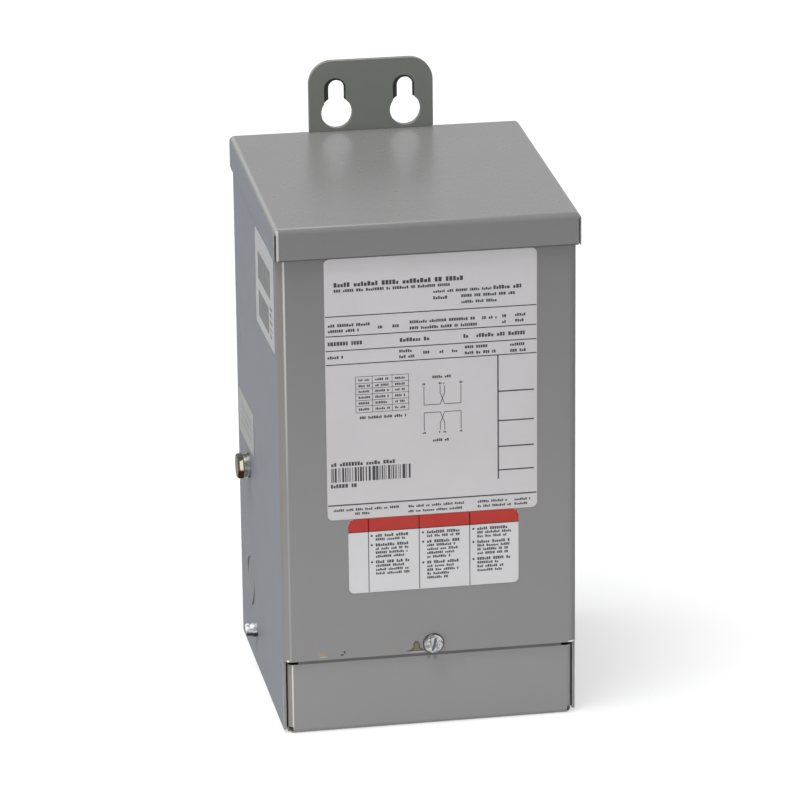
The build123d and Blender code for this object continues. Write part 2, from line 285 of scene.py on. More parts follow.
# Ink on the labels, in mm from their printed faces, the widths of its lines and the sides of
# its round marks
INK_HEIGHT = 0.02
INK_SUNK = 0.05
FINE = 0.35
RULE = 0.45
BOLD = 0.6
DISC_SIDES = 16

# Greeked rows: blocks in a group, and shares of the row's height
GROUP_BLOCKS = (2, 8)
BLOCK_WIDTHS = (0.45, 0.7)
BLOCK_DROPS = (0.0, 0.0, 0.3)
BLOCK_GAP = 0.16
GROUP_GAP = 0.75

# Rules and boxes of the nameplate, in mm right and down from its top left corner, as are all
# places on a label
PLATE_MARGIN = 0.3
RATINGS_FOOT = 46.5
PLATE_RULES = (
    (25.2, RULE), (33.9, RULE), (40.3, RULE), (RATINGS_FOOT, RULE), (109.4, BOLD),
)
BOXES_LEFT = 74.4
BOXES_RIGHT = 90.0
BOXES_FOOT = 102.2
BOX_LINES = (62.8, 76.0, 87.6, 98.2)

# Heading of the nameplate: left end, right end, height on the label and height of the print
HEADING_ROWS = (
    (4.1, 60.9, 11.4, 2.0), (4.1, 55.6, 14.0, 1.3), (46.7, 72.0, 16.7, 1.2),
    (72.6, 84.7, 16.4, 1.7), (46.6, 53.7, 19.5, 1.4), (58.7, 81.9, 19.3, 1.3),
    (58.7, 75.4, 22.0, 1.3),
)

# Other greeked rows: left end, right end and height on the label
UPPER_RATINGS = (
    (1.4, 20.7, 29.2), (1.4, 15.4, 31.6), (22.8, 25.3, 30.9), (29.0, 31.8, 30.8),
    (36.4, 65.1, 29.5), (36.4, 66.7, 32.2), (67.6, 74.1, 29.6), (76.3, 78.5, 29.3),
    (76.3, 78.5, 31.9), (81.9, 86.5, 29.1), (81.9, 86.5, 31.6),
)
MIDDLE_RATINGS = (
    (1.2, 16.0, 37.2), (32.1, 45.3, 37.2), (59.5, 62.6, 37.2), (65.1, 86.5, 37.2),
)
LOWER_RATINGS = (
    (1.0, 7.8, 43.2), (31.8, 37.8, 42.1), (31.8, 39.0, 44.6), (42.1, 45.8, 43.3),
    (49.1, 51.4, 43.4), (54.5, 57.3, 43.4), (60.1, 70.3, 42.1), (60.1, 74.4, 44.7),
    (79.7, 86.5, 42.2), (79.7, 86.5, 44.9),
)
FOOTER_ROWS = (
    (2.6, 31.3, 111.7), (11.9, 18.4, 113.6), (35.1, 60.0, 111.9), (35.0, 58.7, 114.1),
    (65.3, 78.5, 111.9), (65.3, 80.1, 114.0), (81.4, 89.0, 112.0), (81.4, 87.0, 114.0),
)
BAR_ROWS = ((1.9, 29.7, 91.0), (1.6, 12.9, 100.7))
RATING_TALL = 1.3
MIDDLE_TALL = 1.7
FOOTER_TALL = 1.1
BAR_ROW_TALL = 1.7

# Table of the nameplate: its lines, how far print keeps from them, and the note below it
TABLE_COLUMNS = (12.9, 20.1, 28.6, 35.7)
TABLE_LINES = (52.4, 55.4, 57.7, 60.3, 63.0, 65.5, 68.4)
TABLE_LINE = 0.22
TABLE_LEFT_INSET = 1.2
TABLE_RIGHT_INSET = 1.0
TABLE_TALL = 1.0
NOTE_INSET = 1.6
NOTE_DOWN = 70.7
NOTE_TALL = 1.2

# Winding diagrams: where the leads end, where the winding folds, and the caption's height. The
# inner leads turn at that share of the way to the fold, and names lie beyond the leads' ends.
WINDINGS = ((58.5, 66.8, 54.5), (78.3, 70.3, 82.8))
OUTER_LEADS = (42.3, 58.3)
INNER_LEADS = (49.3, 51.2)
WINDING_LINE = 0.3
LEAD_TURN = 0.385
NAME_SHARE = 0.12
OUTER_NAME = (-0.6, 0.9)
INNER_NAME = (-0.6, 0.6)
NAME_TALL = 0.9
CAPTION_ENDS = (46.0, 54.4)
CAPTION_TALL = 1.2

# Run of upright bars
BARS_LEFT = 1.8
BARS_RIGHT = 36.2
BARS_TOP = 92.6
BARS_TALL = 6.4
BAR_WIDTHS = (0.28, 0.28, 0.55, 0.9, 1.3)
BAR_GAPS = (0.28, 0.4, 0.4, 0.75)

# Lower label: the band with its cut corners, the upright lines, and columns of greeked rows,
# each with its left end and the rows under each of its bullets
BAND_FOOT = 6.0
BAND_CORNER = 2.4
BAND_ROUND = 0.7
LOWER_LINES = (8.7, 30.8, 52.9)
LOWER_MARGIN = 0.2
LOWER_COLUMNS = ((9.9, (2, 4, 4)), (32.3, (2, 5, 5)), (54.3, (3, 4, 4)))
LOWER_TOP = 8.0
LOWER_STEP = 1.75
LOWER_GAP = 0.75
LOWER_INDENT = 1.9
BULLET_INDENT = 0.2
BULLET_RADIUS = 0.5
FIRST_LENGTH = 15.0
FIRST_TALL = 1.35
NEXT_LENGTHS = (9.5, 15.5)
NEXT_TALL = 1.15

# Shaded boxes of the upper side label, as right, down, width and height, and the rows beside
SHADED_BOXES = ((7.4, 9.1, 35.4, 12.4), (7.9, 26.4, 29.5, 11.7))
SIDE_ROW_ENDS = (41.0, 48.0)
SIDE_ROW_TOP = 25.0
SIDE_ROW_STEP = 3.1
SIDE_ROW_COUNT = 5
SIDE_ROW_TALL = 1.5

# Bars of the lower side label, as height on the label and width of the bar
SMALL_BARS = ((4.6, 3.0), (8.6, 2.4), (12.0, 3.0))
SMALL_BAR_LEFT = 7.0
SMALL_BAR_LENGTH = 31.0


class Paint:
    """One material, and short calls for its shader nodes. Lengths are in mm."""

    def __init__(self, name):
        self.material = bpy.data.materials.new(name)
        self.material.use_nodes = True
        self.tree = self.material.node_tree
        self.tree.nodes.clear()
        self.shader = self.node("ShaderNodeBsdfPrincipled")
        output = self.node("ShaderNodeOutputMaterial")
        self.tree.links.new(self.shader.outputs["BSDF"], output.inputs["Surface"])
        self.place = self.node("ShaderNodeTexCoord").outputs["Object"]

    def node(self, kind, **settings):
        made = self.tree.nodes.new(kind)
        for key, value in settings.items():
            setattr(made, key, value)
        return made

    def put(self, socket, value):
        if isinstance(value, bpy.types.NodeSocket):
            self.tree.links.new(value, socket)
        else:
            socket.default_value = value

    def set(self, **values):
        """Sets the shader's sockets, named with underscores for spaces."""
        for key, value in values.items():
            self.put(self.shader.inputs[key.replace("_", " ")], value)

    def math(self, operation, first, second=0.0):
        made = self.node("ShaderNodeMath", operation=operation)
        self.put(made.inputs[0], first)
        self.put(made.inputs[1], second)
        return made.outputs[0]

    def ramp(self, value, low, high, from_value=0.0, to_value=1.0):
        made = self.node("ShaderNodeMapRange")
        self.put(made.inputs["Value"], value)
        made.inputs["From Min"].default_value = low
        made.inputs["From Max"].default_value = high
        made.inputs["To Min"].default_value = from_value
        made.inputs["To Max"].default_value = to_value
        return made.outputs["Result"]

    def band(self, value, start, rise, fall, end):
        """1 between rise and fall, 0 before start and after end."""
        up = self.ramp(value, start, rise)
        down = self.ramp(value, fall, end, 1.0, 0.0)
        return self.math("MULTIPLY", up, down)

    def noise(self, size, detail=2, stretch=(1, 1, 1)):
        """Noise with features of about that size."""
        mapping = self.node("ShaderNodeMapping")
        self.put(mapping.inputs["Vector"], self.place)
        mapping.inputs["Scale"].default_value = [s / (size * MM) for s in stretch]
        made = self.node("ShaderNodeTexNoise")
        self.put(made.inputs["Vector"], mapping.outputs["Vector"])
        made.inputs["Scale"].default_value = 1.0
        made.inputs["Detail"].default_value = detail
        return made.outputs["Fac"]

    def grain(self, size, detail, low, high):
        """Noise of that size, stretched to run from low to high."""
        return self.ramp(self.noise(size, detail), *NOISE_MIDDLE, low, high)

    def mix(self, share, first, second):
        made = self.node("ShaderNodeMix", data_type="RGBA")
        self.put(made.inputs["Factor"], share)
        self.put(made.inputs["A"], first)
        self.put(made.inputs["B"], second)
        return made.outputs["Result"]

    def scale(self, colour, share):
        """Colour, given as a value or a socket, times a share."""
        if not isinstance(colour, bpy.types.NodeSocket):
            colour = colour[:3]
        made = self.node("ShaderNodeVectorMath", operation="SCALE")
        self.put(made.inputs[0], colour)
        self.put(made.inputs["Scale"], share)
        return made.outputs["Vector"]

    def strongest(self, masks):
        """Greatest of several masks, each given with its strength."""
        greatest = None
        for mask, strength in masks:
            one = self.math("MULTIPLY", mask, strength)
            greatest = one if greatest is None else self.math("MAXIMUM", greatest, one)
        return greatest

    def parts(self, vector=None):
        """Node that splits a vector, or else the surface's own normal."""
        split = self.node("ShaderNodeSeparateXYZ")
        if vector is None:
            vector = self.node("ShaderNodeNewGeometry").outputs["Normal"]
        self.put(split.inputs["Vector"], vector)
        return split

    def at(self, axis):
        """Place along an axis of the part's frame."""
        return self.math("DIVIDE", self.parts(self.place).outputs[axis], MM)

    def against(self, axis):
        """Part of the normal that points against an axis."""
        return self.math("MULTIPLY", self.parts().outputs[axis], -1.0)

    def faces_front(self):
        return self.ramp(self.parts().outputs["Y"], *FRONT_FACE)

    def faces_sideways(self, limits):
        return self.ramp(self.math("ABSOLUTE", self.parts().outputs["X"]), *limits)

    def rounded(self, radius):
        """Normal of the surface with its edges rounded by radius."""
        bevel = self.node("ShaderNodeBevel", samples=BEVEL_SAMPLES)
        bevel.inputs["Radius"].default_value = radius * MM
        return bevel.outputs["Normal"]

    def edges(self, radius):
        """Masks of sharp edges: one for all but those that face down, one for those."""
        geometry = self.node("ShaderNodeNewGeometry")
        normal = self.rounded(radius)
        dot = self.node("ShaderNodeVectorMath", operation="DOT_PRODUCT")
        self.put(dot.inputs[0], normal)
        self.put(dot.inputs[1], geometry.outputs["Normal"])
        edge = self.ramp(dot.outputs["Value"], *EDGE_TURN)
        rise = self.parts(normal).outputs["Z"]
        upper = self.math("MULTIPLY", edge, self.ramp(rise, *EDGE_RISE))
        lower = self.math("MULTIPLY", edge, self.ramp(rise, *reversed(EDGE_RISE)))
        return upper, lower

    def bend_line(self):
        """Painted highlight: 1 along the left upright bends, where the sheet turns from the front
        to the side.
        """
        line = self.band(self.against("X"), *BEND_LINE)
        normal = self.parts()
        forward = self.ramp(normal.outputs["Y"], *BEND_FORWARD)
        upright = self.ramp(self.math("ABSOLUTE", normal.outputs["Z"]), *BEND_UPRIGHT)
        height = self.at("Z")
        fade = self.ramp(height, *BEND_FADE, BEND_FAINT, 1.0)
        low = self.ramp(height, *BEND_LOW)
        line = self.math("MULTIPLY", self.math("MULTIPLY", line, forward), upright)
        return self.math("MULTIPLY", line, self.math("MAXIMUM", fade, low))

    def bend_reflection(self):
        """Painted reflection: 1 on the round of the left upright bends, beside the painted
        highlight.
        """
        return self.band(self.against("X"), *BEND_REFLECTION)

    def roof_bend(self):
        """Painted highlight: 1 along the bend between the roof and its left flange."""
        return self.band(self.against("X"), *ROOF_BEND)

    def fold(self):
        """Painted highlight: 1 along the start of the bend between the roof and its front skirt,
        most at the left.
        """
        line = self.band(self.against("Y"), *FOLD_LINE)
        return self.math("MULTIPLY", line, self.ramp(self.at("X"), *FOLD_FADE))

    def skirt_end(self):
        """Painted highlight: 1 at the left end of the front skirt."""
        return self.math("MULTIPLY", self.faces_front(), self.band(self.at("X"), *SKIRT_END))

    def skirt_foot(self):
        """Painted shade: 1 along the bottom edge of the front skirt."""
        return self.math("MULTIPLY", self.faces_front(), self.ramp(self.at("Z"), *SKIRT_FOOT))

    def flat(self, right, up, half_width, half_height, turn=0.0):
        """Place on the front, from a middle and in half sizes of a box turned by degrees."""
        mapping = self.node("ShaderNodeMapping", vector_type="TEXTURE")
        self.put(mapping.inputs["Vector"], self.place)
        mapping.inputs["Location"].default_value = (right * MM, 0, up * MM)
        mapping.inputs["Rotation"].default_value = (0, -math.radians(turn), 0)
        mapping.inputs["Scale"].default_value = (half_width * MM, FLATTENED, half_height * MM)
        return mapping.outputs["Vector"]

    def spot(self, right, up, half_width, half_height):
        """Distance from the middle of a round mark on the front, 1 at its rim."""
        length = self.node("ShaderNodeVectorMath", operation="LENGTH")
        self.put(length.inputs[0], self.flat(right, up, half_width, half_height))
        return length.outputs["Value"]

    def marks(self, spots, softness):
        """1 inside any of the spots, with ragged rims of that softness."""
        nearest = None
        for one in spots:
            away = self.spot(*one)
            nearest = away if nearest is None else self.math("MINIMUM", nearest, away)
        ragged = self.math("ADD", nearest, self.grain(*RAGGED_RIM))
        return self.ramp(ragged, 1.0, 1.0 - softness)

    def bump(self, height, depth, radius=None):
        """Bump of that depth, over edges rounded by radius."""
        made = self.node("ShaderNodeBump")
        made.inputs["Distance"].default_value = depth * MM
        self.put(made.inputs["Height"], height)
        if radius:
            self.put(made.inputs["Normal"], self.rounded(radius))
        self.set(Normal=made.outputs["Normal"])


def marked(paint, surface, marks):
    """Surface with marks laid over it, in their order."""
    for spots, softness, tint in marks:
        surface = paint.mix(paint.marks(spots, softness), surface, tint)
    return surface


def mottled(paint, colour):
    """Colour with faint patches and specks."""
    shade = paint.math("ADD", paint.grain(*PAINT_PATCHES), paint.grain(*PAINT_SPECKS))
    return paint.scale(colour, paint.math("ADD", shade, 1.0))


def enamel(name, colour, wear_and_highlight_colour, edge_shade=0.25, side_light=None, chips=(), painted_light_spots=(), roof=False,
           shaded=False):
    """Sprayed enamel over sheet steel: faintly mottled, orange-peeled, thin at the edges, with
    painted highlights, a painted reflection on bends and painted shade.
    """
    paint = Paint(name)
    surface = mottled(paint, colour)
    # Painted bluish light: faces that point sideways take the bluish copy of the paint
    if side_light:
        surface = paint.mix(paint.faces_sideways(SIDE_FACE), surface, side_light)
    surface = marked(paint, surface, chips)
    # Upper edges are paler from rubbed paint and painted highlight; lower edges get painted shade
    upper, lower = paint.edges(EDGE_RADIUS)
    thin = paint.ramp(paint.noise(THIN_SIZE, detail=5), *THIN_RANGE)
    wear_and_highlights = [(upper, thin)]
    painted_shades = [(lower, edge_shade)]
    # On the hood: painted highlights on the roof's left bend, the fold and the skirt's left end,
    # and painted shade along the skirt's foot
    if roof:
        wear_and_highlights.append((paint.roof_bend(), ROOF_BEND_STRENGTH))
        wear_and_highlights.append((paint.fold(), FOLD_STRENGTH))
        wear_and_highlights.append((paint.skirt_end(), SKIRT_END_STRENGTH))
        painted_shades.append((paint.skirt_foot(), SKIRT_FOOT_STRENGTH))
    else:
        # Elsewhere: a painted highlight along the left upright bends, and a painted reflection
        # tint on their round
        wear_and_highlights.append((paint.bend_line(), BEND_STRENGTH))
        surface = paint.mix(paint.bend_reflection(), surface, BEND_REFLECTION_GREY)
    surface = paint.mix(paint.strongest(wear_and_highlights), surface, wear_and_highlight_colour)
    # Painted shade under the lower edges and along the skirt's foot
    surface = paint.mix(paint.strongest(painted_shades), surface, PAINTED_SHADE_COLOUR)
    # Painted highlights and a painted reflection laid over the rest
    surface = marked(paint, surface, painted_light_spots)
    if shaded:
        surface = paint.mix(paint.ramp(paint.at("Z"), *COVER_SHADE), surface, SHADED_COVER)
    gloss = paint.ramp(paint.parts().outputs["Z"], *TOP_FACE, SIDE_ROUGHNESS, TOP_ROUGHNESS)
    paint.set(
        Base_Color=surface,
        Roughness=paint.math("ADD", gloss, paint.grain(*PAINT_SHEEN)),
        Specular_IOR_Level=PAINT_SPECULAR,
    )
    paint.bump(paint.noise(PEEL_SIZE, detail=1), PEEL_DEPTH, radius=PAINT_RADIUS)
    return paint.material


def plated(name, colour, dull, roughness, tints=(), metallic=1.0):
    """Plated steel with fine scratches and dull spots.

    The tints lie over these, each given as a mask and a colour.
    """
    paint = Paint(name)
    spots = paint.ramp(paint.noise(SPOT_SIZE, detail=3), *SPOT_RANGE)
    surface = paint.mix(spots, colour, dull)
    for mask, tint in tints:
        surface = paint.mix(mask(paint), surface, tint)
    scratches = paint.noise(SCRATCH_SIZE, detail=3, stretch=SCRATCH_STRETCH)
    between = [roughness + change for change in SCRATCH_ROUGHNESS]
    paint.set(
        Base_Color=surface,
        Metallic=metallic,
        Specular_IOR_Level=METAL_SPECULAR * metallic,
        Roughness=paint.ramp(scratches, *NOISE_MIDDLE, *between),
    )
    paint.bump(scratches, SCRATCH_DEPTH, radius=PLATED_RADIUS)
    return paint.material


def film(name, colour, roughness, shaded_below=None):
    """Printed plastic film with a faint grain, and painted light that darkens it towards another
    colour further down.
    """
    paint = Paint(name)
    # Painted light: lighter at the top, shading to the other colour further down
    if shaded_below:
        colour = paint.mix(paint.ramp(paint.at("Z"), *FILM_LIGHT_FALLOFF), colour, shaded_below)
    smooth, rough = roughness - SHEEN_CHANGE, roughness + SHEEN_CHANGE
    paint.set(
        Base_Color=paint.scale(colour, paint.grain(*FILM_CLOUDS)),
        Roughness=paint.grain(SHEEN_SIZE, 2, smooth, rough),
        Specular_IOR_Level=FILM_SPECULAR,
    )
    paint.bump(paint.noise(FILM_GRAIN), FILM_DEPTH)
    return paint.material


def resin(name):
    """Sand-filled resin, dark and grainy."""
    paint = Paint(name)
    grain = paint.ramp(paint.noise(SAND_SIZE, detail=5), *SAND_RANGE)
    paint.set(Base_Color=paint.mix(grain, RESIN, SAND), Roughness=RESIN_ROUGHNESS)
    paint.bump(grain, SAND_DEPTH)
    return paint.material


def height_band(name, limits):
    """Mask between heights from the middle of a CAD node."""
    heights = [middle(name).z + limit for limit in limits]

    def mask(paint):
        wavy = paint.math("ADD", paint.at("Z"), paint.grain(*WAVY_BAND))
        return paint.band(wavy, *heights)
    return mask


def side_band(limits):
    """Mask between distances out from the side walls, on either side."""
    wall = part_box("case_wrap")[1].x / MM
    distances = [wall + limit for limit in limits]

    def mask(paint):
        return paint.band(paint.math("ABSOLUTE", paint.at("X")), *distances)
    return mask


def both(first, second):
    """Mask where two masks meet."""
    def mask(paint):
        return paint.math("MULTIPLY", first(paint), second(paint))
    return mask


def outer_face(paint):
    """Mask of the faces that point away from a side wall."""
    return paint.faces_sideways(HEAD_FACE)


def rim(name):
    """Mask of the rim of a round head on the front."""
    low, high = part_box(name)
    centre = middle(name)
    radius = (high.x - low.x) / 2 / MM

    def mask(paint):
        return paint.ramp(paint.spot(centre.x, centre.z, radius, radius), *HEAD_RIM)
    return mask


def slot_line(name):
    """Mask of the slot across a head on the front."""
    centre = middle(name)

    def mask(paint):
        parts = paint.parts(paint.flat(
            centre.x, centre.z, SLOT_HALF_LENGTH, SLOT_HALF_WIDTH, SLOT_TURN
        ))
        along = paint.ramp(paint.math("ABSOLUTE", parts.outputs["X"]), *SLOT_ENDS)
        across = paint.ramp(paint.math("ABSOLUTE", parts.outputs["Z"]), *SLOT_SIDES)
        return paint.math("MULTIPLY", along, across)
    return mask


def dress(names, material):
    for name in names:
        slots = NODES[name].data.materials
        slots.clear()
        slots.append(material)


def dress_sheets():
    panel = enamel(
        "panel_enamel", GREY, WORN_AND_HIGHLIGHT, side_light=SIDE_LIGHT_GREY, chips=PANEL_CHIPS, painted_light_spots=PANEL_HIGHLIGHTS
    )
    roof = enamel("roof_enamel", GREY, WORN_AND_HIGHLIGHT, edge_shade=0.7, side_light=SIDE_LIGHT_GREY, roof=True)
    cover = enamel("cover_enamel", COVER_LIT_GREY, WORN_AND_HIGHLIGHT, painted_light_spots=COVER_REFLECTION, shaded=True)
    disc = enamel("disc_enamel", DISC_GREY, DISC_WEAR_AND_HIGHLIGHT)
    dress(["case_wrap"], panel)
    dress(["hood"], roof)
    dress(["wiring_cover"], cover)
    dress(["knockout_left", "knockout_right"], disc)
    dress(["back_panel"], enamel("ear_enamel", EAR_GREY, EAR_WEAR_AND_HIGHLIGHT))
    dress(["wall_plate"], enamel("strip_enamel", STRIP_GREY, STRIP_WEAR_AND_HIGHLIGHT))


def dress_fasteners():
    zinc = plated(
        "zinc_plate", ZINC, ZINC_SPOTS, roughness=0.25,
        tints=[(slot_line("cover_screw"), SLOT_SHADE), (rim("cover_screw"), RIM_SHADE)],
    )
    earth_zinc = plated(
        "earth_zinc_plate", EARTH_ZINC, EARTH_ZINC_SPOTS, roughness=0.35, metallic=0.7,
        tints=[(height_band("earth_screw", EARTH_UNDERSIDE), EARTH_SHADE)],
    )
    dull_zinc = plated("dull_zinc_plate", DULL_ZINC, DULL_ZINC_SPOTS, roughness=0.35)
    glint = both(height_band("core_bolt_left", GLINT_HEIGHT), side_band(GLINT_SIDE))
    yellow = plated(
        "yellow_zinc_plate", YELLOW, YELLOW_SPOTS, roughness=0.25, metallic=0.1,
        tints=[
            (height_band("core_bolt_left", BOLT_UNDERSIDE), BOLT_SHADE),
            (side_band(NECK_SIDE), BOLT_NECK),
            (glint, BOLT_GLINT),
            (outer_face, BOLT_FACE),
        ],
    )
    dress(["cover_screw"], zinc)
    dress(["star_washer", "earth_screw"], earth_zinc)
    for side in ("left", "right"):
        dress(["flat_washer_" + side, "lock_washer_" + side], dull_zinc)
        dress(["core_bolt_" + side], yellow)


def dress_labels():
    dress(["nameplate"], film("silver_film", SILVER, roughness=0.4, shaded_below=SHADED_SILVER))
    dress(["lower_label"], film("lower_silver_film", LOWER_SILVER, roughness=0.4))
    dress(["side_label_upper"], film("side_silver_film", SIDE_SILVER, roughness=0.4))
    dress(["side_label_lower"], film("grey_green_film", GREY_GREEN, roughness=0.45))


class Print:
    """Flat ink shapes on one label, placed in mm right and down from its top left corner."""

    def __init__(self, label):
        self.low, self.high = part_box(label)
        self.side = (self.high.x - self.low.x) < (self.high.y - self.low.y)
        self.words = random.Random(label)
        self.vertices = []
        self.faces = []

    def spot(self, right, down, lift):
        """Point at that height over the label's printed face, in metres, seen from outside."""
        z = self.high.z - down * MM
        if self.side:
            return (self.low.x - lift, self.high.y - right * MM, z)
        return (self.low.x + right * MM, self.low.y - lift, z)

    def shape(self, outline):
        """Thin closed prism over a convex outline, given clockwise as seen."""
        count, first = len(outline), len(self.vertices)
        for lift in (-INK_SUNK * MM, INK_HEIGHT * MM):
            self.vertices += [self.spot(right, down, lift) for right, down in outline]
        self.faces.append([first + i for i in range(count)])
        self.faces.append([first + count + i for i in reversed(range(count))])
        for i in range(count):
            j = (i + 1) % count
            self.faces.append([first + i, first + count + i, first + count + j, first + j])

    def bar(self, right, down, width, tall):
        self.shape([
            (right, down), (right + width, down),
            (right + width, down + tall), (right, down + tall),
        ])

    def across(self, right, end, down, width):
        self.bar(right, down - width / 2, end - right, width)

    def upright(self, right, down, end, width):
        self.bar(right - width / 2, down, width, end - down)

    def stroke(self, start, end, width):
        """Straight line of that width between two points."""
        run = Vector(end) - Vector(start)
        side = Vector((-run.y, run.x)).normalized() * width / 2
        a, b = Vector(start), Vector(end)
        self.shape([tuple(p) for p in (a - side, b - side, b + side, a + side)])

    def disc(self, right, down, radius):
        turns = [math.tau * i / DISC_SIDES for i in range(DISC_SIDES)]
        self.shape([
            (right + radius * math.cos(t), down + radius * math.sin(t)) for t in turns
        ])

    def row(self, right, end, down, tall):
        """Greeked row of print: blocks in groups, with no letters in it."""
        while right < end:
            for _ in range(self.words.randint(*GROUP_BLOCKS)):
                width = tall * self.words.uniform(*BLOCK_WIDTHS)
                drop = tall * self.words.choice(BLOCK_DROPS)
                if right + width > end:
                    return
                self.bar(right, down - tall / 2 + drop, width, tall - drop)
                right += width + tall * BLOCK_GAP
            right += tall * GROUP_GAP

    def rows(self, places, tall):
        """Greeked rows of one height."""
        for right, end, down in places:
            self.row(right, end, down, tall)

    def piece(self, name, ink):
        mesh = bpy.data.meshes.new(name)
        mesh.from_pydata(self.vertices, [], self.faces)
        mesh.materials.append(ink)
        made = bpy.data.objects.new(name, mesh)
        bpy.context.scene.collection.objects.link(made)
        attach(made, "root")
        return made


def full_width(sheet):
    """Width of a front label in mm."""
    return (sheet.high.x - sheet.low.x) / MM


def print_rules(sheet):
    """Ruled lines of the nameplate, and the empty boxes down its right side."""
    for down, width in PLATE_RULES:
        sheet.across(PLATE_MARGIN, full_width(sheet) - PLATE_MARGIN, down, width)
    sheet.upright(BOXES_LEFT, RATINGS_FOOT, BOXES_FOOT, BOLD)
    for down in BOX_LINES:
        sheet.across(BOXES_LEFT, BOXES_RIGHT, down, BOLD)


def print_heading(sheet):
    """Greeked heading rows."""
    for right, end, down, tall in HEADING_ROWS:
        sheet.row(right, end, down, tall)


def print_ratings(sheet):
    """Greeked entries between the ruled lines."""
    sheet.rows(UPPER_RATINGS, RATING_TALL)
    sheet.rows(MIDDLE_RATINGS, MIDDLE_TALL)
    sheet.rows(LOWER_RATINGS, RATING_TALL)


def print_table(sheet):
    """Table of three columns with greeked entries, and a note below it."""
    first, last = TABLE_COLUMNS[0], TABLE_COLUMNS[-1]
    for down in TABLE_LINES:
        sheet.across(first, last, down, TABLE_LINE)
    for right in TABLE_COLUMNS:
        sheet.upright(right, TABLE_LINES[0], TABLE_LINES[-1], TABLE_LINE)
    for top, bottom in zip(TABLE_LINES, TABLE_LINES[1:]):
        for left, right in zip(TABLE_COLUMNS, TABLE_COLUMNS[1:]):
            sheet.row(
                left + TABLE_LEFT_INSET, right - TABLE_RIGHT_INSET,
                (top + bottom) / 2, TABLE_TALL,
            )
    sheet.row(first + NOTE_INSET, last - TABLE_RIGHT_INSET, NOTE_DOWN, NOTE_TALL)


def print_winding(sheet, end, fold, caption):
    """Winding diagram: two outer leads and two inner leads that cross before the fold."""
    turn = end + (fold - end) * LEAD_TURN
    name_down = end + (end - fold) * NAME_SHARE
    for outer, inner, other in zip(OUTER_LEADS, reversed(INNER_LEADS), INNER_LEADS):
        sheet.upright(outer, min(end, fold), max(end, fold), WINDING_LINE)
        sheet.across(min(outer, other), max(outer, other), fold, WINDING_LINE)
        sheet.stroke((inner, turn), (other, fold), WINDING_LINE)
        sheet.upright(inner, min(end, turn), max(end, turn), WINDING_LINE)
        for lead, (before, after) in ((outer, OUTER_NAME), (inner, INNER_NAME)):
            sheet.row(lead + before, lead + after, name_down, NAME_TALL)
    sheet.row(*CAPTION_ENDS, caption, CAPTION_TALL)


def print_bars(sheet):
    """Run of upright bars of uneven width, with a greeked row above and below."""
    right = BARS_LEFT
    while right < BARS_RIGHT:
        width = sheet.words.choice(BAR_WIDTHS)
        sheet.bar(right, BARS_TOP, min(width, BARS_RIGHT - right), BARS_TALL)
        right += width + sheet.words.choice(BAR_GAPS)
    sheet.rows(BAR_ROWS, BAR_ROW_TALL)


def print_band(sheet):
    """Plain band along the top of a label, with cut corners."""
    width = full_width(sheet)
    sheet.shape([
        (0.0, BAND_FOOT), (0.0, BAND_CORNER), (BAND_ROUND, BAND_ROUND), (BAND_CORNER, 0.0),
        (width - BAND_CORNER, 0.0), (width - BAND_ROUND, BAND_ROUND),
        (width, BAND_CORNER), (width, BAND_FOOT),
    ])


def print_lower_label(sheet):
    """Three columns of greeked rows in groups, each group under a bullet."""
    height = (sheet.high.z - sheet.low.z) / MM
    sheet.across(0.0, full_width(sheet), BAND_FOOT, FINE)
    for right in LOWER_LINES:
        sheet.upright(right, LOWER_MARGIN, height - LOWER_MARGIN, FINE)
    for right, groups in LOWER_COLUMNS:
        down = LOWER_TOP
        start = right + LOWER_INDENT
        for rows in groups:
            sheet.disc(right + BULLET_INDENT, down, BULLET_RADIUS)
            for index in range(rows):
                length = sheet.words.uniform(*NEXT_LENGTHS) if index else FIRST_LENGTH
                sheet.row(start, start + length, down, NEXT_TALL if index else FIRST_TALL)
                down += LOWER_STEP
            down += LOWER_GAP


def print_side_label(sheet):
    """Two shaded boxes, and greeked rows beside the lower one."""
    for box in SHADED_BOXES:
        sheet.bar(*box)
    for index in range(SIDE_ROW_COUNT):
        sheet.row(*SIDE_ROW_ENDS, SIDE_ROW_TOP + index * SIDE_ROW_STEP, SIDE_ROW_TALL)


def print_small_label(sheet):
    """Three shaded bars, with the film left bare between them."""
    for down, tall in SMALL_BARS:
        sheet.bar(SMALL_BAR_LEFT, down, SMALL_BAR_LENGTH, tall)


def print_labels():
    ink = film("black_ink", BLACK_INK, roughness=0.5)
    grey_ink = film("grey_ink", GREY_INK, roughness=0.45)
    pale_ink = film("pale_grey_ink", PALE_INK, roughness=0.4)
    red_ink = film("red_ink", RED_INK, roughness=0.45)
    plate = Print("nameplate")
    print_rules(plate)
    print_heading(plate)
    print_ratings(plate)
    print_table(plate)
    for winding in WINDINGS:
        print_winding(plate, *winding)
    print_bars(plate)
    plate.rows(FOOTER_ROWS, FOOTER_TALL)
    plate.piece("nameplate_print", ink)
    band = Print("lower_label")
    print_band(band)
    band.piece("lower_label_band", red_ink)
    lower = Print("lower_label")
    print_lower_label(lower)
    lower.piece("lower_label_print", ink)
    upper = Print("side_label_upper")
    print_side_label(upper)
    upper.piece("side_label_print", grey_ink)
    small = Print("side_label_lower")
    print_small_label(small)
    small.piece("small_label_print", pale_ink)


